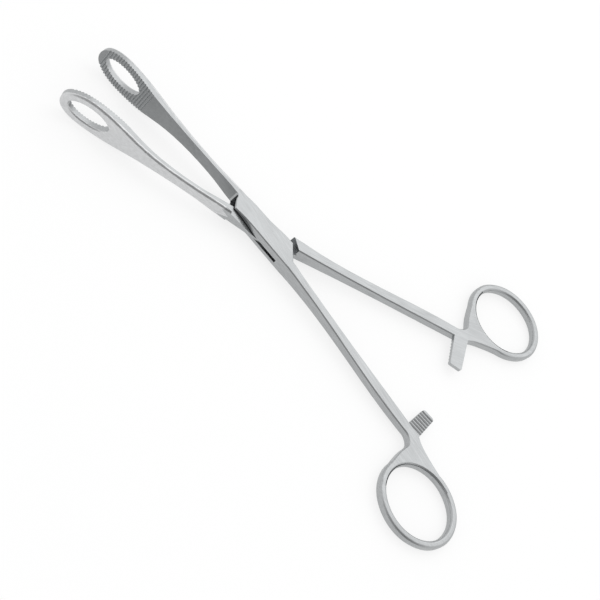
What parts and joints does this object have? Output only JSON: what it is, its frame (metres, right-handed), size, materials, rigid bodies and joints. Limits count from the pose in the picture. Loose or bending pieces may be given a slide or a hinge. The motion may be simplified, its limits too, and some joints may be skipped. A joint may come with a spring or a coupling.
{
  "type": "sponge holding forceps",
  "caption": "Long box-lock holding forceps with fenestrated serrated oval jaws, finger rings and a ratchet catch, shown open.",
  "frame": {"origin": "middle of the pivot pin's top end, in the flat top face of the box lock", "axes": "+Z along the pivot axis, out of the lock's top face; +X from the lock to the jaws, midway between the arms; +Y to the female arm's finger ring side"},
  "size_m": [0.2331, 0.1462, 0.016],
  "materials": {
    "satin_steel": "satin",
    "pin_steel": "satin"
  },
  "bodies": {
    "female_half": {"female_arm": "satin_steel", "pivot_pin": "pin_steel"},
    "male_half": {"male_arm": "satin_steel"}
  },
  "joints": [
    {"name": "box_lock_hinge", "type": "hinge", "parent": "female_half", "child": "male_half", "pos_m": [0, 0, 0], "axis": [0, 0, 1], "range_deg": [-16.5, 28]}
  ]
}
